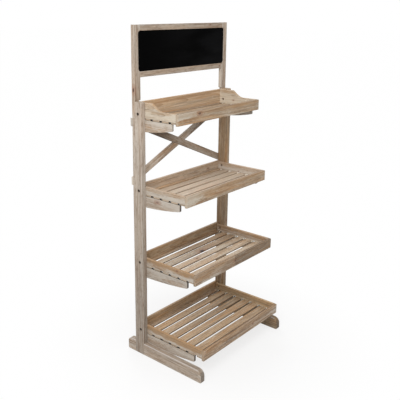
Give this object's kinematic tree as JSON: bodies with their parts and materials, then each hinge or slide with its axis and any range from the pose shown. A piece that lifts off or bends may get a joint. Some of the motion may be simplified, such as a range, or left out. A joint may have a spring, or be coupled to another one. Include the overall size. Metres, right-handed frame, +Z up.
{
  "type": "storage shelf",
  "caption": "Free-standing tiered display shelf of washed wood with slatted trays that deepen towards the floor, a crossed back brace and a framed chalkboard header.",
  "frame": {"origin": "on the floor, midway between the posts and midway along the feet", "axes": "+X to the right seen from the front, +Y towards the back, +Z up"},
  "size_m": [0.61, 0.423, 1.438],
  "materials": {
    "washed_wood": "matt wash",
    "dowel_wood": "bare",
    "chalkboard": "matt board paint on thin hardboard",
    "dark_steel": "dark plated",
    "plain_steel": "zinc plated"
  },
  "bodies": {
    "root": {"chalkboard": "chalkboard", "falling_brace": "washed_wood", "foot_screws": "plain_steel", "frame_screws": "plain_steel", "header_bottom_rail": "washed_wood", "header_dowels": "dowel_wood", "header_left_stile": "washed_wood", "header_right_stile": "washed_wood", "header_top_rail": "washed_wood", "left_foot": "washed_wood", "left_post": "washed_wood", "nails": "plain_steel", "right_foot": "washed_wood", "right_post": "washed_wood", "rising_brace": "washed_wood", "sleeve_nuts": "dark_steel", "tier_1_back_panel": "washed_wood", "tier_1_deck_slats": "washed_wood", "tier_1_front_lip": "washed_wood", "tier_1_front_slat": "washed_wood", "tier_1_left_arm": "washed_wood", "tier_1_left_side": "washed_wood", "tier_1_rear_slat": "washed_wood", "tier_1_right_arm": "washed_wood", "tier_1_right_side": "washed_wood", "tier_2_back_panel": "washed_wood", "tier_2_deck_slats": "washed_wood", "tier_2_front_lip": "washed_wood", "tier_2_front_slat": "washed_wood", "tier_2_left_arm": "washed_wood", "tier_2_left_side": "washed_wood", "tier_2_rear_slat": "washed_wood", "tier_2_right_arm": "washed_wood", "tier_2_right_side": "washed_wood", "tier_3_back_panel": "washed_wood", "tier_3_deck_slats": "washed_wood", "tier_3_front_lip": "washed_wood", "tier_3_front_slat": "washed_wood", "tier_3_left_arm": "washed_wood", "tier_3_left_side": "washed_wood", "tier_3_rear_slat": "washed_wood", "tier_3_right_arm": "washed_wood", "tier_3_right_side": "washed_wood", "tier_4_back_panel": "washed_wood", "tier_4_deck_slats": "washed_wood", "tier_4_front_lip": "washed_wood", "tier_4_front_slat": "washed_wood", "tier_4_left_arm": "washed_wood", "tier_4_left_side": "washed_wood", "tier_4_rear_slat": "washed_wood", "tier_4_right_arm": "washed_wood", "tier_4_right_side": "washed_wood", "tray_bolts": "dark_steel"}
  },
  "joints": []
}
